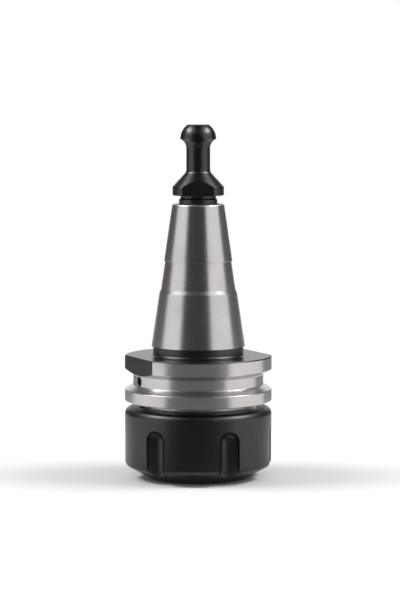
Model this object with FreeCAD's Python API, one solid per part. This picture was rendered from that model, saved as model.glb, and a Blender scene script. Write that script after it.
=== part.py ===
import FreeCAD, Part
import math
import os

# Collet chuck holder: a 7:24 steep-taper shank, size 30, with a nut for a 32 mm spring collet.
# It stands on the nut. +Z runs along the spindle axis towards the retention knob, and the
# origin is the centre of the nut's front face. Millimetres and degrees throughout.
# A bearing is measured about Z from -Y towards +X.

# ---- driving dimensions -------------------------------------------------------------------

# spindle taper
gauge_radius = 15.875            # taper radius at the gauge plane
taper_per_mm = 7 / 48            # radius lost for each millimetre of height: 7:24 on diameter
taper_length = 48.4              # gauge plane to the small end
taper_end_rounding = 0.8
relief_start = 18.2              # gauge plane to the relieved band
relief_length = 10.8
relief_depth = 0.37
relief_runout = 1.3              # height of the sloped step at the band's lower end

# neck and flange
gauge_to_flange = 3.2
neck_step = 0.5                  # taper's large end to the neck, in radius
neck_step_height = 0.3
neck_fillet = 1.6
body_radius = 25.0               # flange and nut are turned to one diameter
flange_thickness = 15.45
flange_edge_break = 0.4
gripper_below_top = 8.0          # flange top to the middle of the gripper groove
gripper_depth = 2.85
gripper_root_width = 3.6
gripper_flank_angle = 30.0       # each flank, from the flange's faces
flat_depth = 2.6                 # each flat on the upper rim
flat_bearing = -64.0
dimple_radius = 1.7
dimple_depth = 4.0

# nose
nose_length = 13.25
nut_wall = 5.5                   # leaves 19.5, the pitch radius of the M40 x 1.5 thread
thread_gap = 0.05
nose_end_break = 0.8
nose_undercut_depth = 0.9
nose_undercut_width = 2.2
seat_end_gap = 1.0               # collet's back face to the floor of its seat
tool_bore_radius = 10.3          # room for the tool's shank behind the collet
tool_bore_length = 14.0
drill_point_angle = 59.0         # half of the point

# spring collet
collet_recess = 0.5              # nut's front face to the collet's front face
collet_length = 40.0
collet_radius = 16.5
collet_bore_radius = 6.0
collet_back_angle = 8.0
collet_nose_angle = 30.0
collet_nose_rise = 2.6           # radius gained over the front cone
collet_land_step = 0.6           # widest radius to the land behind the front cone
collet_land_width = 0.9
collet_groove_depth = 1.7
collet_groove_width = 2.5
collet_shoulder_width = 0.6
collet_stand_out = 4.1           # back cone left in front of the nose
collet_edge_break = 0.4
collet_slots = 8                 # from each end
collet_slot_width = 1.0
collet_slot_wall = 6.5           # left between a slot's blind end and the far face
cone_gap = 0.08                  # square to both cones

# clamping nut
nut_to_flange = 2.2
nut_shoulder_rounding = 2.2
nut_rim_rounding = 2.0
nut_bevel_angle = 28.7           # from the front face
nut_face_width = 3.15
nut_mouth_gap = 0.15
nut_lead_in = 0.9
nut_relief_depth = 0.9
nut_relief_width = 2.2
nut_floor_gap = 1.2              # nose's end to the nut's inner step
nut_chamber_gap = 0.8            # round the collet's widest part
nut_land_gap = 0.3               # round the collet's land
lip_gap = 0.15                   # lip's bore round the collet's land
lip_offset = 0.9                 # the lip is turned off centre, to catch the collet on one side
lip_width = 1.5
slot_count = 6
slot_cutter_radius = 3.95
slot_depth = 3.2
slot_below_top = 5.7
slot_bearing = 24.9

# retention knob and its seat in the small end
pilot_radius = 6.52
pilot_gap = 0.04
pilot_depth = 5.5
pilot_land = 1.4                 # pilot that stands out of the taper
pilot_chamfer = 0.5
stud_radius = 5.43               # pitch radius of the M12 thread
stud_length = 20.0               # collar's underside to the stud's end
stud_end_break = 1.0
collar_gap = 2.77                # taper's small end to the collar
collar_radius = 8.75
collar_height = 3.0
collar_rounding = 0.5
wrench_flats = 13.8              # across the flats
knob_cone_angle = 43.0           # from the axis
knob_neck_radius = 4.05
knob_neck_fillet = 2.0
head_height = 19.1               # collar's underside to the head's widest part
head_radius = 6.1
head_underside = 3.1
crown_radius = 3.7               # flat on top of the head


# ---- geometry helpers ---------------------------------------------------------------------

AXIS = FreeCAD.Vector(0, 0, 1)
CENTRE = FreeCAD.Vector(0, 0, 0)
SHARE_OF_SIDE = 0.48             # the most of a side that an eased corner may use
ONE_CHORD_BELOW = 1.0            # rounding radius up to which one chord stands for the arc
ARC_CHORDS = 3                   # in a larger arc: the head's underside and crown, a slot's end


def tangent(angle):
    return math.tan(math.radians(angle))


def cosine(angle):
    return math.cos(math.radians(angle))


def sine(angle):
    return math.sin(math.radians(angle))


def at_bearing(shape, bearing):
    """Turn a shape that was made along +X to a bearing about Z."""
    return shape.rotated(CENTRE, AXIS, bearing - 90)


def eased_corner(before, corner, after, radius):
    """Points on the arc that rounds a corner: its ends, with its middle if it is large."""
    to_before = before - corner
    to_after = after - corner
    shorter = min(to_before.Length, to_after.Length)
    to_before.normalize()
    to_after.normalize()
    half_angle = to_before.getAngle(to_after) / 2
    radius = min(radius, SHARE_OF_SIDE * shorter * math.tan(half_angle))
    setback = radius / math.tan(half_angle)
    bisector = (to_before + to_after).normalize()
    middle = corner + bisector * (radius / math.sin(half_angle) - radius)
    start = corner + to_before * setback
    end = corner + to_after * setback
    return [start, end] if radius < ONE_CHORD_BELOW else [start, middle, end]


def arc_points(radius, start_angle, end_angle):
    """Points (x, y) about the origin along an arc that is drawn as chords."""
    step = (end_angle - start_angle) / ARC_CHORDS
    angles = [start_angle + step * index for index in range(ARC_CHORDS + 1)]
    return [(radius * cosine(angle), radius * sine(angle)) for angle in angles]


def outline(corners):
    """Closed wire in the XZ plane from corners (radius, height). A third number eases a corner
    to that rounding radius."""
    places = [FreeCAD.Vector(corner[0], 0, corner[1]) for corner in corners]
    points = []
    for index, corner in enumerate(corners):
        if len(corner) == 3:
            following = places[(index + 1) % len(places)]
            points += eased_corner(places[index - 1], places[index], following, corner[2])
        else:
            points.append(places[index])
    return Part.makePolygon(points + points[:1])


def turned(corners):
    return Part.Face(outline(corners)).revolve(CENTRE, AXIS, 360)


def ring(inner, outer, bottom, height):
    base = FreeCAD.Vector(0, 0, bottom)
    return Part.makeCylinder(outer, height, base).cut(Part.makeCylinder(inner, height, base))


# ---- shared levels and radii --------------------------------------------------------------

# from the nut's front face up the collet to the nose
z_collet_face = collet_recess
z_land = z_collet_face + collet_nose_rise / tangent(collet_nose_angle)
z_collet_groove = z_land + collet_land_width
z_collet_shoulder = z_collet_groove + collet_groove_width
z_back_cone = z_collet_shoulder + collet_shoulder_width
z_collet_back = z_collet_face + collet_length
z_nose_end = z_back_cone + collet_stand_out

# from the nose up to the knob
z_flange_bottom = z_nose_end + nose_length
z_flange_top = z_flange_bottom + flange_thickness
z_gripper = z_flange_top - gripper_below_top
z_gauge = z_flange_top + gauge_to_flange
z_small_end = z_gauge + taper_length
z_pilot_seat = z_small_end - pilot_depth
z_collar = z_small_end + collar_gap
z_stud_end = z_collar - stud_length

collet_land_radius = collet_radius - collet_land_step
collet_face_radius = collet_land_radius - collet_nose_rise
collet_groove_radius = collet_land_radius - collet_groove_depth

nut_height = z_flange_bottom - nut_to_flange
thread_radius = body_radius - nut_wall


def back_cone_radius(height):
    """The collet's back cone, and the seat that it lies in."""
    return collet_radius - tangent(collet_back_angle) * (height - z_back_cone)


def taper_radius(above_gauge):
    return gauge_radius - taper_per_mm * above_gauge


# ---- holder body --------------------------------------------------------------------------

def holder_body():
    """Shank, flange and nose, turned from one bar and bored through."""
    seat_gap = cone_gap / cosine(collet_back_angle)
    z_seat_floor = z_collet_back + seat_end_gap
    z_tool_bore = z_seat_floor + tool_bore_length
    pilot_bore = pilot_radius + pilot_gap
    tapped_bore = stud_radius + thread_gap
    z_drill_point = z_tool_bore + (tool_bore_radius - tapped_bore) / tangent(drill_point_angle)
    neck_radius = gauge_radius - neck_step
    undercut_radius = thread_radius - nose_undercut_depth
    z_undercut = z_flange_bottom - nose_undercut_width
    root_radius = body_radius - gripper_depth
    half_root = gripper_root_width / 2
    half_mouth = half_root + gripper_depth * tangent(gripper_flank_angle)
    relief_end = relief_start + relief_length
    runout_end = relief_start + relief_runout

    nose = [
        (back_cone_radius(z_nose_end) + seat_gap, z_nose_end),
        (thread_radius - nose_end_break, z_nose_end),
        (thread_radius, z_nose_end + nose_end_break),
        (thread_radius, z_undercut),
        (undercut_radius, z_undercut),
        (undercut_radius, z_flange_bottom),
    ]
    flange = [
        (body_radius - flange_edge_break, z_flange_bottom),
        (body_radius, z_flange_bottom + flange_edge_break),
        (body_radius, z_gripper - half_mouth),
        (root_radius, z_gripper - half_root),
        (root_radius, z_gripper + half_root),
        (body_radius, z_gripper + half_mouth),
        (body_radius, z_flange_top - flange_edge_break),
        (body_radius - flange_edge_break, z_flange_top),
        (neck_radius, z_flange_top, neck_fillet),
    ]
    shank = [
        (neck_radius, z_gauge - neck_step_height),
        (gauge_radius, z_gauge),
        (taper_radius(relief_start), z_gauge + relief_start),
        (taper_radius(runout_end) - relief_depth, z_gauge + runout_end),
        (taper_radius(relief_end) - relief_depth, z_gauge + relief_end),
        (taper_radius(relief_end), z_gauge + relief_end),
        (taper_radius(taper_length), z_small_end, taper_end_rounding),
    ]
    bore = [
        (pilot_bore, z_small_end),
        (pilot_bore, z_pilot_seat),
        (tapped_bore, z_pilot_seat),
        (tapped_bore, z_drill_point),
        (tool_bore_radius, z_tool_bore),
        (tool_bore_radius, z_seat_floor),
        (back_cone_radius(z_seat_floor) + seat_gap, z_seat_floor),
    ]
    body = turned(nose + flange + shank + bore)
    for bearing in (flat_bearing, flat_bearing + 180):
        body = body.cut(at_bearing(rim_flat_cutter(), bearing))
    return body.cut(at_bearing(dimple_cutter(root_radius), flat_bearing))


def rim_flat_cutter():
    """Block outside a flat on the flange's upper rim, along +X, down to the gripper groove."""
    corner = FreeCAD.Vector(body_radius - flat_depth, -body_radius, z_gripper)
    height = gripper_below_top + neck_fillet
    return Part.makeBox(flat_depth * 2, body_radius * 2, height, corner)


def dimple_cutter(root_radius):
    """Drilled hole in the root of the gripper groove, along +X."""
    start = FreeCAD.Vector(root_radius - dimple_depth, 0, z_gripper)
    hole = Part.makeCylinder(dimple_radius, dimple_depth * 2, start, FreeCAD.Vector(1, 0, 0))
    point_depth = dimple_radius / tangent(drill_point_angle)
    tip = Part.makeCone(dimple_radius, 0, point_depth, start, FreeCAD.Vector(-1, 0, 0))
    return hole.fuse(tip)


# ---- retention knob -----------------------------------------------------------------------

def retention_knob():
    """Turned stud with a domed head and two wrench flats on its collar."""
    z_collar_top = z_collar + collar_height
    z_cone_top = z_collar_top + (collar_radius - knob_neck_radius) / tangent(knob_cone_angle)
    z_head = z_collar + head_height
    z_neck_top = z_head - head_underside
    z_pilot_top = z_small_end + pilot_land
    undercut_radius = pilot_radius - pilot_chamfer

    # the head's underside is an arc tangent to the neck, and its crown is part of a sphere
    overhang = head_radius - knob_neck_radius
    under_radius = (overhang ** 2 + head_underside ** 2) / (2 * overhang)
    under_turn = math.degrees(math.asin(head_underside / under_radius))
    under_centre = knob_neck_radius + under_radius
    underside = arc_points(under_radius, 180, 180 - under_turn)
    crown = arc_points(head_radius, 0, math.degrees(math.acos(crown_radius / head_radius)))
    knob = turned([
        (0, z_stud_end),
        (stud_radius - stud_end_break, z_stud_end),
        (stud_radius, z_stud_end + stud_end_break),
        (stud_radius, z_pilot_seat),
        (pilot_radius, z_pilot_seat),
        (pilot_radius, z_pilot_top),
        (undercut_radius, z_pilot_top + pilot_chamfer),
        (undercut_radius, z_collar),
        (collar_radius, z_collar, collar_rounding),
        (collar_radius, z_collar_top, collar_rounding),
        (knob_neck_radius, z_cone_top, knob_neck_fillet),
        *[(under_centre + x, z_neck_top + y) for x, y in underside],
        *[(x, z_head + y) for x, y in crown[1:]],
        (0, z_head + crown[-1][1]),
    ])
    for side in (0, 180):
        corner = FreeCAD.Vector(wrench_flats / 2, -collar_radius, z_collar)
        block = Part.makeBox(collar_radius, collar_radius * 2, z_cone_top - z_collar, corner)
        knob = knob.cut(at_bearing(block, side))
    return knob


# ---- clamping nut -------------------------------------------------------------------------

def clamping_nut():
    """Round nut with an inner cone, an off-centre extraction lip and slots for a wrench."""
    nose_gap = cone_gap / cosine(collet_nose_angle)
    mouth_radius = collet_face_radius + nut_mouth_gap
    z_mouth = z_collet_face + (nut_mouth_gap - nose_gap) / tangent(collet_nose_angle)
    land_bore = collet_land_radius + nut_land_gap
    z_cone_end = z_land + (nut_land_gap - nose_gap) / tangent(collet_nose_angle)
    z_lip = z_collet_groove + (collet_groove_width - lip_width) / 2
    z_lip_top = z_lip + lip_width
    chamber_radius = collet_radius + nut_chamber_gap
    z_floor = z_nose_end - nut_floor_gap
    thread_bore = thread_radius + thread_gap
    relief_radius = thread_radius + nut_relief_depth
    face_radius = mouth_radius + nut_face_width
    z_rim = (body_radius - face_radius) * tangent(nut_bevel_angle)

    nut = turned([
        (mouth_radius, 0),
        (face_radius, 0),
        (body_radius, z_rim, nut_rim_rounding),
        (body_radius, nut_height, nut_shoulder_rounding),
        (thread_bore + nut_lead_in, nut_height),
        (thread_bore, nut_height - nut_lead_in),
        (thread_bore, z_floor + nut_relief_width),
        (relief_radius, z_floor + nut_relief_width),
        (relief_radius, z_floor),
        (chamber_radius, z_floor),
        (chamber_radius, z_lip_top),
        (land_bore, z_lip_top),
        (land_bore, z_cone_end),
        (mouth_radius, z_mouth),
    ])
    lip = ring(0.8 * land_bore, (land_bore + chamber_radius) / 2, z_lip, lip_width)
    lip_centre = FreeCAD.Vector(lip_offset, 0, z_lip)
    nut = nut.fuse(lip.cut(Part.makeCylinder(collet_land_radius + lip_gap, lip_width, lip_centre)))
    nut = nut.removeSplitter()
    for step in range(slot_count):
        nut = nut.cut(at_bearing(slot_cutter(), slot_bearing + step * 360 / slot_count))
    return nut


def slot_cutter():
    """Round-ended cutter for a wrench slot, along +X: it runs out of the nut's front."""
    reach = body_radius - slot_depth + slot_cutter_radius
    half_width = math.sqrt(slot_cutter_radius ** 2 - (slot_cutter_radius - slot_depth) ** 2)
    z_ball = nut_height - slot_below_top - half_width
    ball_end = arc_points(slot_cutter_radius, 0, 90)
    cutter = turned([
        (0, -nut_rim_rounding),
        (slot_cutter_radius, -nut_rim_rounding),
        *[(x, z_ball + y) for x, y in ball_end],
    ])
    return cutter.translated(FreeCAD.Vector(reach, 0, 0))


# ---- spring collet ------------------------------------------------------------------------

def spring_collet():
    """Double-cone sleeve, slotted by turns from the front and from the back."""
    collet = turned([
        (collet_bore_radius, z_collet_face),
        (collet_face_radius, z_collet_face, collet_edge_break),
        (collet_land_radius, z_land),
        (collet_land_radius, z_collet_groove),
        (collet_groove_radius, z_collet_groove),
        (collet_groove_radius, z_collet_shoulder),
        (collet_radius, z_collet_shoulder),
        (collet_radius, z_back_cone),
        (back_cone_radius(z_collet_back), z_collet_back, collet_edge_break),
        (collet_bore_radius, z_collet_back),
    ])
    slot_length = collet_length - collet_slot_wall
    pitch = 360 / collet_slots
    for step in range(collet_slots):
        for bottom, bearing in (
            (z_collet_face, step * pitch),
            (z_collet_face + collet_slot_wall, (step + 0.5) * pitch),
        ):
            corner = FreeCAD.Vector(collet_bore_radius / 2, -collet_slot_width / 2, bottom)
            blade = Part.makeBox(collet_radius, collet_slot_width, slot_length, corner)
            collet = collet.cut(at_bearing(blade, bearing))
    return collet


# ---- build and write ----------------------------------------------------------------------

SUB_PARTS = {
    "holder_body": holder_body,
    "retention_knob": retention_knob,
    "clamping_nut": clamping_nut,
    "spring_collet": spring_collet,
}

os.makedirs("parts", exist_ok=True)
for node, make in SUB_PARTS.items():
    shape = make()
    shape.exportStep(f"parts/{node}.step")
    box = shape.BoundBox
    print(f"{node}: {len(shape.Solids)} solid, {shape.Volume:.0f} mm3, valid {shape.isValid()},",
          f"z {box.ZMin:.2f} to {box.ZMax:.2f}, x {box.XMin:.2f} to {box.XMax:.2f}")
print(f"gauge plane at {z_gauge:.3f}, nut height {nut_height:.3f}, nose end at {z_nose_end:.3f}")
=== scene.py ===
# %% [markdown]
# # A collet chuck holder, dressed in Blender
#
# A collet chuck holder carries a round cutting tool in a milling spindle. From top to bottom it
# has a retention knob that the drawbar pulls, a 7:24 taper that seats in the spindle, a flange
# with a groove for the tool changer's fork, and a clamping nut that presses a slotted spring
# collet round the tool.
#
# The imported CAD model is the frame. It gives every level and every body, so this lesson starts
# by loading it.

# %% load the frame
import math

import bmesh
import bpy
from mathutils import Matrix, Vector


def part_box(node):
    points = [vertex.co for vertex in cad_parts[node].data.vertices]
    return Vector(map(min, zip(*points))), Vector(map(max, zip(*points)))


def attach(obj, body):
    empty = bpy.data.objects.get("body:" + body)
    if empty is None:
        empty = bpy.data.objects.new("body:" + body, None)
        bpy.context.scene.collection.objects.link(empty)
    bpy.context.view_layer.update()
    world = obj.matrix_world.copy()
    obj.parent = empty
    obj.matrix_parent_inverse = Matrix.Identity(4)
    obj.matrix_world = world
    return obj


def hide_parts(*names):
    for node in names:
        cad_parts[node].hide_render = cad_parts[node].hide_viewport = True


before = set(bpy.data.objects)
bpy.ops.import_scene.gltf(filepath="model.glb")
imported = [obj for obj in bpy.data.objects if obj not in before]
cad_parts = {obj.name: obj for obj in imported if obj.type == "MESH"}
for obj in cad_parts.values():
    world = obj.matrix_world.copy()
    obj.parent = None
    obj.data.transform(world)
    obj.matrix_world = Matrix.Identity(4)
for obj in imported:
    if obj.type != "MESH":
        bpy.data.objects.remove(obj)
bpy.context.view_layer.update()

# %% [markdown]
# ## Levels along the axis
#
# Each turned piece is drawn as a profile of radii and heights in millimetres. The heights are
# not typed in again: the top and bottom of each CAD node give the main levels, and the depths of
# grooves and steps are laid off from them. A fit is then right whatever the frame says.

# %% levels from the frame, in millimetres
MM = 0.001


def span(node):
    low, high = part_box(node)
    return low.z / MM, high.z / MM


z_nose_end, z_small_end = span("holder_body")
z_stud_end, z_top = span("retention_knob")
z_nut_face, z_nut_top = span("clamping_nut")
z_collet_face, z_collet_back = span("spring_collet")
body_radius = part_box("clamping_nut")[1].x / MM
z_flange_bottom = z_nut_top + 2.2
z_flange_top = z_flange_bottom + 15.45
z_groove = z_flange_top - 8.0
z_gauge = z_flange_top + 3.2
z_collar = z_stud_end + 20.0
print(f"nut to {z_nut_top:.2f}, flange {z_flange_bottom:.2f} to {z_flange_top:.2f},",
      f"gauge plane {z_gauge:.2f}, small end {z_small_end:.2f}, top {z_top:.2f}")

# %% [markdown]
# ## Camera
#
# The holder is looked at from a little above its middle, with a long lens from 0.8 m, so that
# the two rims of the flange show as shallow curves and the sides stay parallel. The camera comes
# first because it settles how much of the studio has to be white.

# %% camera
camera_data = bpy.data.cameras.new("camera")
camera = bpy.data.objects.new("camera", camera_data)
bpy.context.scene.collection.objects.link(camera)
camera_data.lens = 142.7
camera_data.sensor_width = 36.0
camera_data.clip_start = 0.05
camera_data.clip_end = 50.0
camera_pitch = 5.17
camera.location = (0.0006, -0.806, 0.1335)
camera.rotation_euler = (math.radians(90 - camera_pitch), 0, 0)
bpy.context.scene.camera = camera
bpy.context.scene.view_settings.view_transform = "Standard"
print("camera stands", round(camera.location.length, 3), "m from the nut's face")

# %% [markdown]
# ## Shader maths as plain Python
#
# Steel and black oxide are told apart by what happens over the surface: rings left by the
# grinding wheel, specks in the oxide, bright edges where hands and wrenches rub. All of that is
# arithmetic on coordinates, so a small class wraps a node's socket, and + - * / on it add the
# Math nodes. Every other node comes from one method of the finish being made.

# %% sockets that add up


class Value:
    """A node's output socket that can be used in arithmetic."""

    def __init__(self, finish, socket):
        self.finish = finish
        self.socket = socket

    def math(self, operation, *others):
        terms = dict(enumerate((self, *others)))
        return self.finish.node("ShaderNodeMath", {"operation": operation}, terms)

    def __add__(self, other):
        return self.math("ADD", other)

    def __sub__(self, other):
        return self.math("SUBTRACT", other)

    def __mul__(self, other):
        return self.math("MULTIPLY", other)

    def __truediv__(self, other):
        return self.math("DIVIDE", other)

    def __rsub__(self, other):
        return self * -1 + other

    __radd__ = __add__
    __rmul__ = __mul__

    def between(self, low, high, start=0.0, end=1.0):
        """Start below low, end above high, with a soft ramp between them."""
        settings = {"interpolation_type": "SMOOTHSTEP"}
        terms = {"Value": self, "From Min": low, "From Max": high, "To Min": start, "To Max": end}
        return self.finish.node("ShaderNodeMapRange", settings, terms)


# %% a finish and its nodes


class Finish:
    """A material, or the world, with its node tree emptied and ready for nodes."""

    def __init__(self, owner, output="ShaderNodeOutputMaterial"):
        owner.use_nodes = True
        self.owner = owner
        self.tree = owner.node_tree
        self.tree.nodes.clear()
        self.output = self.tree.nodes.new(output)

    def node(self, kind, settings=None, sockets=None, output=0):
        """Add one node: its settings first, then its sockets' values or links."""
        made = self.tree.nodes.new(kind)
        for name, setting in (settings or {}).items():
            setattr(made, name, setting)
        for name, value in (sockets or {}).items():
            if isinstance(value, Value):
                self.tree.links.new(value.socket, made.inputs[name])
            else:
                made.inputs[name].default_value = value
        return Value(self, made.outputs[output])

    def mix(self, first, second, share):
        """A colour between two colours."""
        sockets = {"Factor": share, 6: first, 7: second}
        return self.node("ShaderNodeMix", {"data_type": "RGBA"}, sockets, 2)

    def noise(self, place, scale, detail=2.0, roughness=0.5):
        terms = {"Vector": place, "Scale": scale, "Detail": detail, "Roughness": roughness}
        return self.node("ShaderNodeTexNoise", {}, terms)

    def surface(self, shader):
        self.tree.links.new(shader.socket, self.output.inputs["Surface"])


# %% [markdown]
# ## Where a point lies on a turned part
#
# The pieces ride on their bodies, so the texture has to ride with them: object coordinates do.
# Grinding and turning leave marks that run round the axis. Scaling the coordinates far more along
# Z than along X and Y turns plain noise into such rings.

# %% coordinates for turned surfaces


def steel_place(finish, along=1.0, across=1.0):
    """Object coordinates in millimetres, scaled along the axis and across it."""
    here = finish.node("ShaderNodeTexCoord", {}, {}, "Object")
    scale = (across / MM, across / MM, along / MM)
    return finish.node("ShaderNodeVectorMath", {"operation": "MULTIPLY"}, {0: here, 1: scale})


def axis_radius(finish):
    """Distance from the axis in millimetres."""
    here = steel_place(finish)
    x, y = [finish.node("ShaderNodeSeparateXYZ", {}, {0: here}, name) for name in "XY"]
    return (x * x + y * y).math("SQRT")


def worn_edge(finish, width):
    """1 on an edge that stands out, 0 on flat metal: the rounded normal leaves the true one."""
    rounded = finish.node("ShaderNodeBevel", {"samples": 6}, {"Radius": width * MM})
    true = finish.node("ShaderNodeNewGeometry", {}, {}, "Normal")
    terms = {0: rounded, 1: true}
    together = finish.node("ShaderNodeVectorMath", {"operation": "DOT_PRODUCT"}, terms, "Value")
    return 1 - together, rounded


# %% [markdown]
# ## Ground steel
#
# The taper and the flange's rims are cylindrically ground: a bright, slightly warm grey with
# fine rings that spread every reflection up and down. The rings are a bump of stretched noise at
# two widths. Roughness wanders a little with them, and a few short scratches from the spindle
# and the tool changer catch the light.

# %% ground steel


def ground_steel(name, colour, roughness, ring_height=0.0012, stain=0.12):
    finish = Finish(bpy.data.materials.new(name))
    fine = finish.noise(steel_place(finish, 9.0, 0.03), 1.0, 3.0, 0.7)
    broad = finish.noise(steel_place(finish, 1.3, 0.02), 1.0, 2.0)
    cloud = finish.noise(steel_place(finish, 0.09, 0.09), 1.0, 4.0, 0.6)
    scratch = finish.noise(steel_place(finish, 2.2, 0.16), 1.0, 5.0, 0.75).between(0.66, 0.73)
    dark = [c * 0.72 for c in colour[:3]] + [1]
    stained = cloud.between(0.35, 0.75) * stain * 3 + fine.between(0.4, 0.8) * stain
    tint = finish.mix(colour, dark, stained)
    rough = roughness + (fine - 0.5) * 0.12 + (cloud - 0.5) * 0.10 + scratch * 0.08
    rounded = worn_edge(finish, 0.12)[1]
    height = fine * 0.6 + broad * 0.4 + scratch * 0.3
    depth = ring_height * MM * 10
    bump = {"Height": height, "Strength": 0.35, "Distance": depth, "Normal": rounded}
    shader = finish.node("ShaderNodeBsdfPrincipled", {}, {
        "Base Color": tint,
        "Metallic": 1.0,
        "Roughness": rough,
        "Normal": finish.node("ShaderNodeBump", {}, bump),
    })
    finish.surface(shader)
    return finish.owner


steel_taper = ground_steel("ground_steel", (0.62, 0.60, 0.59, 1), 0.24)
steel_turned = ground_steel("turned_steel", (0.52, 0.51, 0.505, 1), 0.34, 0.003)
steel_collet = ground_steel("spring_steel", (0.56, 0.56, 0.57, 1), 0.27)
# dull steel for the bore, the dimple and the collet's slits: its roughness is the dull cut finish,
# and its darker colour is painted shade inside these recesses
recess_steel_painted_shade = ground_steel("recess_steel_with_painted_shade", (0.30, 0.29, 0.28, 1), 0.42, 0.004)
print("ground finishes:", steel_taper.name, steel_turned.name, steel_collet.name, recess_steel_painted_shade.name)

# %% [markdown]
# ## Black oxide
#
# The nut and the knob are hardened and blackened. Oxide is part of the metal, so it still
# reflects like metal, only darkly, and a film of oil leaves it satin. It has specks where
# the salt bath bit unevenly. On edges the black is rubbed away and steel shows in a thin line.

# %% black oxide


def black_oxide(name, colour, roughness, wear=0.5, rings=0.4):
    finish = Finish(bpy.data.materials.new(name))
    specks = finish.noise(steel_place(finish, 5.0, 5.0), 1.0, 3.0, 0.65)
    cloud = finish.noise(steel_place(finish, 0.12, 0.12), 1.0, 3.0)
    turned = finish.noise(steel_place(finish, 4.0, 0.05), 1.0, 2.0)
    edge, rounded = worn_edge(finish, 0.16)
    patchy = finish.noise(steel_place(finish, 0.5, 0.5), 1.0, 4.0, 0.7)
    patchy = patchy.between(0.3, 0.62, 0.25, 1.0)
    rubbed = edge.between(0.03, 0.16) * patchy * wear
    pale = [min(1, c * 1.6 + 0.01) for c in colour[:3]] + [1]
    oxide = finish.mix(colour, pale, specks.between(0.5, 0.8) * 0.7 + cloud.between(0.4, 0.8) * 0.2)
    tint = finish.mix(oxide, (0.42, 0.40, 0.39, 1), rubbed)
    rough = roughness + (specks - 0.5) * 0.22 + (cloud - 0.5) * 0.08 - rubbed * 0.05
    height = specks * 0.6 + turned * rings
    bump = {"Height": height, "Strength": 0.3, "Distance": 0.01 * MM, "Normal": rounded}
    shader = finish.node("ShaderNodeBsdfPrincipled", {}, {
        "Base Color": tint,
        "Metallic": 1.0,
        "Roughness": rough,
        "Normal": finish.node("ShaderNodeBump", {}, bump),
    })
    finish.surface(shader)
    return finish.owner


oxide_nut = black_oxide("black_oxide_nut", (0.060, 0.058, 0.061, 1), 0.36)
oxide_knob = black_oxide("black_oxide_knob", (0.065, 0.064, 0.066, 1), 0.30, 0.25)
oxide_flange = black_oxide("blackened_flange", (0.075, 0.070, 0.068, 1), 0.30, 0.3)
print("black finishes:", oxide_nut.name, oxide_knob.name, oxide_flange.name)

# %% [markdown]
# ## Turning a profile
#
# Every piece here was made on a lathe, so one function does the same: it takes the corners of a
# closed profile and spins them. A corner may be rounded, and the side that leaves a corner has a
# finish. Rounding even the "sharp" corners by a tenth or two gives the thin bright lines that
# turned edges have. Built as mesh code, the arcs can be as fine as the picture needs.

# %% round the corners of a profile
ARC_STEPS = 8


def rounded(before, corner, after, radius):
    """Points along the arc that rounds a corner of a profile."""
    to_before = Vector(before) - Vector(corner)
    to_after = Vector(after) - Vector(corner)
    shorter = min(to_before.length, to_after.length)
    half = to_before.angle(to_after) / 2
    radius = min(radius, 0.48 * shorter * math.tan(half))
    to_before.normalize()
    to_after.normalize()
    centre = Vector(corner) + (to_before + to_after).normalized() * radius / math.sin(half)
    start = Vector(corner) + to_before * radius / math.tan(half) - centre
    end = Vector(corner) + to_after * radius / math.tan(half) - centre
    turn = start.angle_signed(end)
    steps = max(2, round(ARC_STEPS * abs(turn) / (math.pi / 2)))
    turns = [Matrix.Rotation(-turn * step / steps, 2) for step in range(steps + 1)]
    return [centre + turned @ start for turned in turns]


def rounded_profile(corners):
    """Corners (radius, height, rounding, finish) to points with the finish of the next side."""
    points = []
    for index, (r, z, rounding, finish) in enumerate(corners):
        before = corners[index - 1]
        after = corners[(index + 1) % len(corners)]
        if rounding and r > 0:
            arc = rounded(before[:2], (r, z), after[:2], rounding)
        else:
            arc = [Vector((r, z))]
        for point in arc[:-1]:
            points.append((point.x, point.y, before[3] if rounding > 1 else finish))
        points.append((arc[-1].x, arc[-1].y, finish))
    return points


# %% spin a profile
COLUMNS = 288


def turn_on_lathe(name, corners, finishes, columns=COLUMNS):
    """A closed mesh turned about Z from corners, with one material for each finish."""
    points = rounded_profile(corners)
    mesh = bpy.data.meshes.new(name)
    vertices = []
    rows = []
    for r, z, finish in points:
        if r < 1e-6:
            rows.append([len(vertices)] * columns)
            vertices.append((0, 0, z * MM))
            continue
        rows.append(list(range(len(vertices), len(vertices) + columns)))
        for column in range(columns):
            angle = 2 * math.pi * column / columns
            vertices.append((r * math.cos(angle) * MM, r * math.sin(angle) * MM, z * MM))
    faces = []
    face_finish = []
    for index, point in enumerate(points):
        low, high = rows[index], rows[(index + 1) % len(rows)]
        if low[0] == low[1] and high[0] == high[1]:
            continue
        for column in range(columns):
            following = (column + 1) % columns
            corner_loop = (low[column], low[following], high[following], high[column])
            faces.append(list(dict.fromkeys(corner_loop)))
            face_finish.append(point[2])
    mesh.from_pydata(vertices, [], faces)
    names = list(finishes)
    for material in finishes.values():
        mesh.materials.append(material)
    mesh.polygons.foreach_set("material_index", [names.index(f) for f in face_finish])
    piece = bpy.data.objects.new(name, mesh)
    bpy.context.scene.collection.objects.link(piece)
    face_outwards(mesh)
    return piece


def face_outwards(mesh):
    shape = bmesh.new()
    shape.from_mesh(mesh)
    bmesh.ops.recalc_face_normals(shape, faces=shape.faces)
    shape.to_mesh(mesh)
    shape.free()


# %% [markdown]
# ## Milling after turning
#
# Flats, wrench slots and the collet's slits are cut after the turning, as in the shop. A cutter
# mesh carries the finish that its cut leaves, and an exact Boolean takes it out of the piece. The
# drill and the saws carry dull steel that is painted darker as the shade in their cuts. The result
# is baked into the mesh, and faces that meet at more than 28 degrees keep a crisp edge.

# %% cutting


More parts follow.
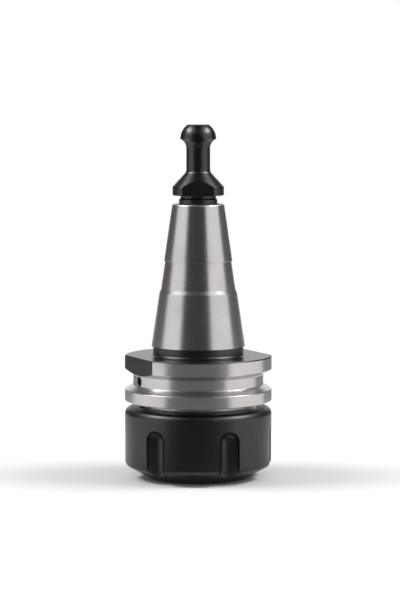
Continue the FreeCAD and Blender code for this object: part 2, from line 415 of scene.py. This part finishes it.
def mill(piece, cutters):
    """Cut each cutter out of a piece, and remove the cutters."""
    for cutter in cutters:
        cut = piece.modifiers.new("cut", "BOOLEAN")
        cut.operation = "DIFFERENCE"
        cut.solver = "EXACT"
        cut.material_mode = "TRANSFER"
        cut.object = cutter
    bpy.context.view_layer.update()
    ready = piece.evaluated_get(bpy.context.evaluated_depsgraph_get())
    made = bpy.data.meshes.new_from_object(ready)
    piece.modifiers.clear()
    old = piece.data
    piece.data = made
    made.name = piece.name
    bpy.data.meshes.remove(old)
    for cutter in cutters:
        bpy.data.objects.remove(cutter)
    return piece


def smooth(piece, angle=28):
    piece.data.polygons.foreach_set("use_smooth", [True] * len(piece.data.polygons))
    piece.data.set_sharp_from_angle(angle=math.radians(angle))
    weighted = piece.modifiers.new("even shading", "WEIGHTED_NORMAL")
    weighted.keep_sharp = True
    weighted.weight = 100
    return piece


def block(name, low, high, finish, bearing=0.0):
    """A straight-sided cutter between two corners in millimetres, turned about Z."""
    shape = bmesh.new()
    bmesh.ops.create_cube(shape, size=1.0)
    low, high = Vector(low) * MM, Vector(high) * MM
    size = Matrix.Diagonal((*(high - low), 1))
    place = Matrix.Translation((low + high) / 2)
    shape.transform(Matrix.Rotation(math.radians(bearing - 90), 4, "Z") @ place @ size)
    mesh = bpy.data.meshes.new(name)
    shape.to_mesh(mesh)
    shape.free()
    mesh.materials.append(finish)
    cutter = bpy.data.objects.new(name, mesh)
    bpy.context.scene.collection.objects.link(cutter)
    return cutter


# %% [markdown]
# ## Holder body
#
# One bar, turned and ground from the nose to the small end. The rims and the groove of the
# flange and the two bands of the taper are bright. The neck, the top of the flange and the two
# flats are black, left from hardening. Behind the collet's seat, the bore is dull steel whose
# colour is painted darker as the shade inside the hole.

# %% holder profile
half_root = 1.8
half_mouth = half_root + 2.85 * math.tan(math.radians(30))


def taper(above_gauge):
    return 15.875 - above_gauge * 7 / 48


nose_root = 19.08
nose_corners = [
    (16.005, z_nose_end, 0.15, "turned"),
    (18.65, z_nose_end, 0.1, "turned"),
    (nose_root, z_nose_end + 0.43, 0.1, "turned"),
    (nose_root, z_flange_bottom - 2.2, 0.1, "turned"),
    (18.6, z_flange_bottom - 1.7, 0.2, "turned"),
    (18.6, z_flange_bottom, 0.3, "turned"),
]
flange_corners = [
    (body_radius, z_flange_bottom, 0.4, "ground"),
    (body_radius, z_groove - half_mouth, 0.25, "ground"),
    (22.15, z_groove - half_root, 0.3, "ground"),
    (22.15, z_groove + half_root, 0.3, "ground"),
    (body_radius, z_groove + half_mouth, 0.25, "ground"),
    (body_radius, z_flange_top, 0.4, "black"),
    (15.375, z_flange_top, 1.0, "black"),
]
shank_corners = [
    (15.375, z_gauge - 0.3, 0.05, "ground"),
    (15.875, z_gauge, 0.05, "ground"),
    (taper(18.2), z_gauge + 18.2, 0.05, "ground"),
    (taper(19.5) - 0.37, z_gauge + 19.5, 0.1, "ground"),
    (taper(29.0) - 0.37, z_gauge + 29.0, 0.05, "ground"),
    (taper(29.0), z_gauge + 29.0, 0.06, "ground"),
    (taper(48.4), z_small_end, 0.8, "turned"),
]
bore_corners = [
    (6.56, z_small_end, 0.1, "bore"),
    (6.56, z_small_end - 5.5, 0, "bore"),
    (5.48, z_small_end - 5.5, 0, "bore"),
    (5.48, z_collet_back + 17.9, 0, "bore"),
    (10.3, z_collet_back + 15.0, 0.2, "bore"),
    (10.3, z_collet_back + 1.0, 0, "bore"),
    (12.014, z_collet_back + 1.0, 0, "bore"),
]

# %% holder body
holder_finishes = {
    "ground": steel_taper,
    "black": oxide_flange,
    "turned": steel_turned,
    "bore": recess_steel_painted_shade,
}
holder_corners = nose_corners + flange_corners + shank_corners + bore_corners
holder = turn_on_lathe("holder", holder_corners, holder_finishes)
flat_bearing = -64.0
flat_depth = 2.6
flat_low = (body_radius - flat_depth, -26, z_groove + 0.2)
flat_high = (28, 26, z_flange_top + 1.6)
rim_cutters = [
    block("flat_cutter", flat_low, flat_high, oxide_flange, bearing)
    for bearing in (flat_bearing, flat_bearing + 180)
]
# the drill leaves the dull steel whose darker colour is painted shade in the dimple
drill = turn_on_lathe("drill", [
    (0, -4.0 - 1.02, 0, "bore"),
    (1.7, -4.0, 0, "bore"),
    (1.7, 4.0, 0, "bore"),
    (0, 4.0, 0, "bore"),
], {"bore": recess_steel_painted_shade}, 48)
drill.data.transform(
    Matrix.Rotation(math.radians(flat_bearing - 90), 4, "Z")
    @ Matrix.Translation((22.15 * MM, 0, z_groove * MM))
    @ Matrix.Rotation(math.radians(90), 4, "Y")
)
mill(holder, [*rim_cutters, drill])
smooth(holder)
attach(holder, "holder")
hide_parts("holder_body")
print("holder:", len(holder.data.polygons), "faces")

# %% [markdown]
# ## Threads
#
# The nut runs on an M40 x 1.5 thread. The solids carry it as two plain cylinders at the pitch
# radius. Here each gets its real ridge: a 60 degree profile swept along a right-handed helix, so
# that the ridges of nut and nose pass between each other all the way off. Each ridge fades out
# at its two ends as a real thread does.

# %% thread ridge
PITCH = 1.5


def thread_ridge(name, root, crest, z_start, z_end, lead, finish, columns=144):
    """A helical ridge from root radius to crest radius, with its middle on the lead height."""
    slope = math.tan(math.radians(30))
    half_crest = 0.1
    half_base = half_crest + abs(crest - root) * slope
    turns = (z_end - z_start - 2 * half_base) / PITCH
    steps = int(turns * columns)
    fade = columns // 3
    first = math.ceil((z_start + half_base - lead) / PITCH * columns)
    vertices = []
    faces = []
    for step in range(steps + 1):
        angle = 2 * math.pi * (first + step) / columns
        z = lead + PITCH * (first + step) / columns
        rise = min(1, step / fade, (steps - step) / fade)
        rise = 0.04 + 0.96 * rise
        top = root + (crest - root) * rise
        half_top = half_base - abs(top - root) * slope
        buried = root - (crest - root) * 0.15
        section = (
            (buried, -half_base), (root, -half_base), (top, -half_top),
            (top, half_top), (root, half_base), (buried, half_base),
        )
        for r, dz in section:
            vertices.append((r * math.cos(angle) * MM, r * math.sin(angle) * MM, (z + dz) * MM))
        if step:
            here = step * 6
            for side in range(6):
                after = (side + 1) % 6
                faces.append((here - 6 + side, here - 6 + after, here + after, here + side))
    faces.append(tuple(range(6)))
    faces.append(tuple(steps * 6 + side for side in range(6)))
    mesh = bpy.data.meshes.new(name)
    mesh.from_pydata(vertices, [], faces)
    mesh.materials.append(finish)
    face_outwards(mesh)
    ridge = bpy.data.objects.new(name, mesh)
    bpy.context.scene.collection.objects.link(ridge)
    return smooth(ridge)


nose_crest = 19.92
nose_thread = thread_ridge(
    "nose_thread", nose_root, nose_crest,
    z_nose_end + 0.3, z_flange_bottom - 1.3, z_nose_end, steel_turned,
)
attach(nose_thread, "holder")
nut_root = 20.02
nut_crest = 19.18
nut_thread = thread_ridge(
    "nut_thread", nut_root, nut_crest,
    z_nose_end + 1.0, z_nut_top - 0.35, z_nose_end + PITCH / 2, oxide_nut,
)
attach(nut_thread, "nut")
print("thread turns:", [round(len(ridge.data.vertices) / 6 / 144, 1)
                        for ridge in (nose_thread, nut_thread)])

# %% [markdown]
# ## Clamping nut
#
# The nut is a ring with a rounded shoulder, a bevelled front and six slots for the wrench's
# lugs. The slots are milled with a ball-ended cutter whose axis lies outside the nut, so they are
# hollow across and round at the top. Inside are the cone that presses the collet and, off
# centre, the lip that draws it out again.

# %% clamping nut
mouth = 13.45
nut_corners = [
    (mouth, z_nut_face, 0.2, "oxide"),
    (mouth + 3.15, z_nut_face, 0.5, "oxide"),
    (body_radius, z_nut_face + 4.6, 2.0, "oxide"),
    (body_radius, z_nut_top, 2.2, "oxide"),
    (20.45, z_nut_top, 0.1, "oxide"),
    (nut_root, z_nut_top - 0.43, 0.05, "oxide"),
    (nut_root, z_nose_end + 1.0, 0.05, "oxide"),
    (20.4, z_nose_end + 0.9, 0.1, "oxide"),
    (20.4, z_nose_end - 1.2, 0.2, "oxide"),
    (17.3, z_nose_end - 1.2, 0.1, "oxide"),
    (17.3, z_collet_face + 7.4, 0.1, "oxide"),
    (16.2, z_collet_face + 7.4, 0.1, "oxide"),
    (16.2, z_collet_face + 4.863, 0.1, "oxide"),
    (mouth, z_collet_face + 0.1, 0.1, "oxide"),
]
nut = turn_on_lathe("nut", nut_corners, {"oxide": oxide_nut})
slot_radius = 3.95
slot_depth = 3.2
slot_reach = body_radius - slot_depth + slot_radius
slot_half_width = math.sqrt(slot_radius ** 2 - (slot_radius - slot_depth) ** 2)
z_ball = z_nut_top - 5.7 - slot_half_width


def ball_ended_cutter(bearing):
    ball = [(slot_radius * math.cos(a), z_ball + slot_radius * math.sin(a), 0, "oxide")
            for a in [math.pi / 2 * step / 24 for step in range(24)]]
    corners = [
        (0, -3, 0, "oxide"),
        (slot_radius, -3, 0, "oxide"),
        *ball,
        (0, z_ball + slot_radius, 0, "oxide"),
    ]
    cutter = turn_on_lathe("slot_cutter", corners, {"oxide": oxide_nut}, 96)
    turned = Matrix.Rotation(math.radians(bearing - 90), 4, "Z")
    cutter.data.transform(turned @ Matrix.Translation((slot_reach * MM, 0, 0)))
    return cutter


first_slot_bearing = 24.9
mill(nut, [ball_ended_cutter(first_slot_bearing + 60 * step) for step in range(6)])
smooth(nut)
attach(nut, "nut")
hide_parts("clamping_nut")
print("nut:", len(nut.data.polygons), "faces")

# %% extraction lip


def crescent_lip():
    """The off-centre ring that catches the collet's groove on one side."""
    offset, bore, outer = 0.9, 16.05, 16.9
    low, high = z_collet_face + 5.9, z_collet_face + 7.4
    vertices = []
    faces = []
    for column in range(144):
        angle = 2 * math.pi * column / 144
        inner = offset * math.cos(angle) + math.sqrt(bore ** 2 - (offset * math.sin(angle)) ** 2)
        inner = min(inner, outer - 0.05)
        for r, z in ((inner, low), (inner, high), (outer, high), (outer, low)):
            vertices.append((r * math.cos(angle) * MM, r * math.sin(angle) * MM, z * MM))
        here, after = column * 4, (column + 1) % 144 * 4
        for side in range(4):
            following = (side + 1) % 4
            faces.append((here + side, after + side, after + following, here + following))
    mesh = bpy.data.meshes.new("extraction_lip")
    mesh.from_pydata(vertices, [], faces)
    mesh.materials.append(oxide_nut)
    face_outwards(mesh)
    lip = bpy.data.objects.new("extraction_lip", mesh)
    bpy.context.scene.collection.objects.link(lip)
    return smooth(lip)


lip = crescent_lip()
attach(lip, "nut")
print("lip stands", round(16.2 - (16.05 - 0.9), 2), "mm into the collet's groove on one side")

# %% [markdown]
# ## Retention knob
#
# The drawbar grips the knob under its domed head. It is one turned stud: a head whose underside
# is a hollow curve into the neck, a cone, a collar with two flats for a wrench, and the pilot
# and thread that go down into the taper.

# %% retention knob
head_radius, neck_radius, underside = 6.1, 4.05, 3.1
z_head = z_collar + 19.1
z_collar_top = z_collar + 3.0
z_cone_top = z_collar_top + (8.75 - neck_radius) / math.tan(math.radians(43))
under_radius = ((head_radius - neck_radius) ** 2 + underside ** 2) / (2 * (head_radius - neck_radius))
under_turn = math.asin(underside / under_radius)
crown_turn = math.acos(3.7 / head_radius)
hollow = []
for step in range(12):
    turn = under_turn * step / 12
    r = neck_radius + under_radius * (1 - math.cos(turn))
    hollow.append((r, z_head - underside + under_radius * math.sin(turn), 0, "oxide"))
crown = []
for step in range(1, 16):
    turn = crown_turn * step / 16
    crown.append((head_radius * math.cos(turn), z_head + head_radius * math.sin(turn), 0, "oxide"))
knob_corners = [
    (0, z_stud_end, 0, "oxide"),
    (4.43, z_stud_end, 0.1, "oxide"),
    (5.43, z_stud_end + 1.0, 0.1, "oxide"),
    (5.43, z_small_end - 5.5, 0, "oxide"),
    (6.52, z_small_end - 5.5, 0, "oxide"),
    (6.52, z_small_end + 1.4, 0.05, "oxide"),
    (6.02, z_small_end + 1.9, 0.05, "oxide"),
    (6.02, z_collar, 0.2, "oxide"),
    (8.75, z_collar, 0.5, "oxide"),
    (8.75, z_collar_top, 0.5, "oxide"),
    (neck_radius, z_cone_top, 2.0, "oxide"),
    *hollow,
    (head_radius, z_head, 0.12, "oxide"),
    *crown,
    (3.7, z_top, 0.2, "oxide"),
    (0, z_top, 0, "oxide"),
]
knob = turn_on_lathe("knob", knob_corners, {"oxide": oxide_knob}, 192)
flat_distance = 6.9
flats = [
    block("wrench_flat", (flat_distance, -10, z_collar - 0.5), (12, 10, z_cone_top), oxide_knob, b)
    for b in (0, 180)
]
mill(knob, flats)
smooth(knob)
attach(knob, "holder")
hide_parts("retention_knob")
print("knob:", len(knob.data.polygons), "faces")

# %% [markdown]
# ## Spring collet
#
# The collet closes on the tool because eight slits run up from its front and eight run down from
# its back, by turns. Only its front shows, inside the nut's mouth. The slits are sawn with thin
# blades that reach from the bore through the wall.

# %% spring collet
land = 15.9
collet_corners = [
    (6.0, z_collet_face, 0.15, "steel"),
    (13.3, z_collet_face, 0.35, "steel"),
    (land, z_collet_face + 4.503, 0.1, "steel"),
    (land, z_collet_face + 5.403, 0.1, "steel"),
    (land - 1.7, z_collet_face + 5.403, 0.1, "steel"),
    (land - 1.7, z_collet_face + 7.903, 0.1, "steel"),
    (16.5, z_collet_face + 7.903, 0.1, "steel"),
    (16.5, z_collet_face + 8.503, 0.1, "steel"),
    (12.073, z_collet_back, 0.4, "steel"),
    (6.0, z_collet_back, 0.15, "steel"),
]
collet = turn_on_lathe("collet", collet_corners, {"steel": steel_collet}, 256)
# the saw blades leave the dull steel whose darker colour is painted shade in the slits
blades = []
for step in range(8):
    for low, bearing in ((-1.0, step * 45), (6.5, step * 45 + 22.5)):
        z_low = z_collet_face + low
        blades.append(block("saw", (3, -0.5, z_low), (20, 0.5, z_low + 34.5), recess_steel_painted_shade, bearing))
mill(collet, blades)
smooth(collet)
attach(collet, "collet")
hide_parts("spring_collet")
print("collet:", len(collet.data.polygons), "faces")

# %% [markdown]
# ## Studio
#
# The object stands on a pale floor that keeps its shadow and fades to white further out. The
# floor rides on the nut, because the nut comes down as it is unscrewed and would otherwise sink
# into it.

# %% floor
WHITE = (1, 1, 1, 1)


def seen_directly(finish):
    """1 for rays from the camera and for rays that gloss or glass sends on."""
    kinds = [finish.node("ShaderNodeLightPath", {}, {}, name)
             for name in ("Is Camera Ray", "Is Glossy Ray", "Is Transmission Ray")]
    return (kinds[0] + kinds[1] + kinds[2]).math("MINIMUM", 1.0)


def sheet(name, corners, material):
    """One flat face through corners in metres."""
    mesh = bpy.data.meshes.new(name)
    mesh.from_pydata(corners, [], [tuple(range(len(corners)))])
    mesh.materials.append(material)
    made = bpy.data.objects.new(name, mesh)
    bpy.context.scene.collection.objects.link(made)
    return made


pale = Finish(bpy.data.materials.new("pale_floor"))
radius = axis_radius(pale)
matt = {"Base Color": (0.93, 0.93, 0.93, 1), "Roughness": 0.9}
paper = pale.node("ShaderNodeBsdfPrincipled", {}, matt)
glow = pale.node("ShaderNodeEmission", {}, {"Color": WHITE, "Strength": 1.0})
far = radius.between(60.0, 220.0) * seen_directly(pale)
pale.surface(pale.node("ShaderNodeMixShader", {}, {0: far, 1: paper, 2: glow}))
z_floor = z_nut_face * MM
floor = sheet("floor", [(x, y, z_floor) for x, y in ((-6, -6), (6, -6), (6, 6), (-6, 6))], pale.owner)
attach(floor, "nut")
print("floor at", round(z_floor, 5))

# %% [markdown]
# ## Cards
#
# Polished round metal shows what stands round it. A tall dark card stands in front, behind the
# camera, and goes on over the top. One stands at each side of the rear. They give the taper its
# dark middle and its dark edges. A grey card lies on the floor in front, and darkens the middle of
# the flange and the nut, which look down on the floor. Only glossy rays see the cards.

# %% cards


def card(name, corners, level):
    """A sheet of one grey that only shiny surfaces see."""
    finish = Finish(bpy.data.materials.new(name))
    grey = (level, level, level, 1)
    finish.surface(finish.node("ShaderNodeEmission", {}, {"Color": grey, "Strength": 1.0}))
    made = sheet(name, corners, finish.owner)
    made.visible_camera = False
    made.visible_shadow = False
    made.visible_diffuse = False
    return made


def towards(azimuth, distance, height):
    """A place in metres. Azimuth 0 is in front, and it grows towards +X."""
    angle = math.radians(azimuth)
    return distance * math.sin(angle), -distance * math.cos(angle), height


def standing_card(name, start, end, distance, top, level):
    ends = [towards(azimuth, distance, 0.01) for azimuth in (start, end)]
    card(name, [*ends, *[(x, y, top) for x, y, z in reversed(ends)]], level)


def lying_card(name, start, end, near, far, height, level):
    """Part of a ring round the object."""
    azimuths = [start + (end - start) * step / 24 for step in range(25)]
    inner = [towards(azimuth, near, height) for azimuth in azimuths]
    outer = [towards(azimuth, far, height) for azimuth in reversed(azimuths)]
    made = card(name, inner + outer, level)
    if height < 0.1:
        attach(made, "nut")


standing_card("front_card", -45, 33, 1.7, 1.5, 0.05)
standing_card("rear_left_card", -160, -99, 1.3, 1.5, 0.12)
standing_card("rear_right_card", 96, 160, 1.3, 1.5, 0.12)
card("top_card", [(-0.55, -1.2, 1.5), (0.55, -1.2, 1.5), (0.55, 0.5, 1.5), (-0.55, 0.5, 1.5)], 0.06)
lying_card("front_floor_card", -50, 47, 0.03, 1.6, 0.0003, 0.19)
lying_card("rear_left_floor_card", -180, -117, 0.17, 1.2, 0.0003, 0.3)
lying_card("rear_right_floor_card", 117, 180, 0.17, 1.2, 0.0003, 0.3)

# %% lamps and world


def lamp(name, place, target, size, power):
    data = bpy.data.lights.new(name, "AREA")
    data.shape = "RECTANGLE"
    data.size, data.size_y = size
    data.energy = power
    light = bpy.data.objects.new(name, data)
    light.location = place
    light.rotation_euler = (Vector(target) - Vector(place)).to_track_quat("-Z", "Y").to_euler()
    bpy.context.scene.collection.objects.link(light)
    return light


middle = Vector((0, 0, z_top * MM / 2))
lamp("left_lamp", towards(-90, 0.95, 1.05), middle, (0.7, 0.45), 10)
lamp("right_lamp", towards(88, 0.95, 1.0), middle, (0.7, 0.45), 10)
world = Finish(bpy.data.worlds.new("studio"), "ShaderNodeOutputWorld")
bpy.context.scene.world = world.owner
walls = world.node("ShaderNodeBackground", {}, {"Color": WHITE, "Strength": 1.0})
fill = world.node("ShaderNodeBackground", {}, {"Color": WHITE, "Strength": 0.45})
world.surface(world.node("ShaderNodeMixShader", {}, {0: seen_directly(world), 1: fill, 2: walls}))
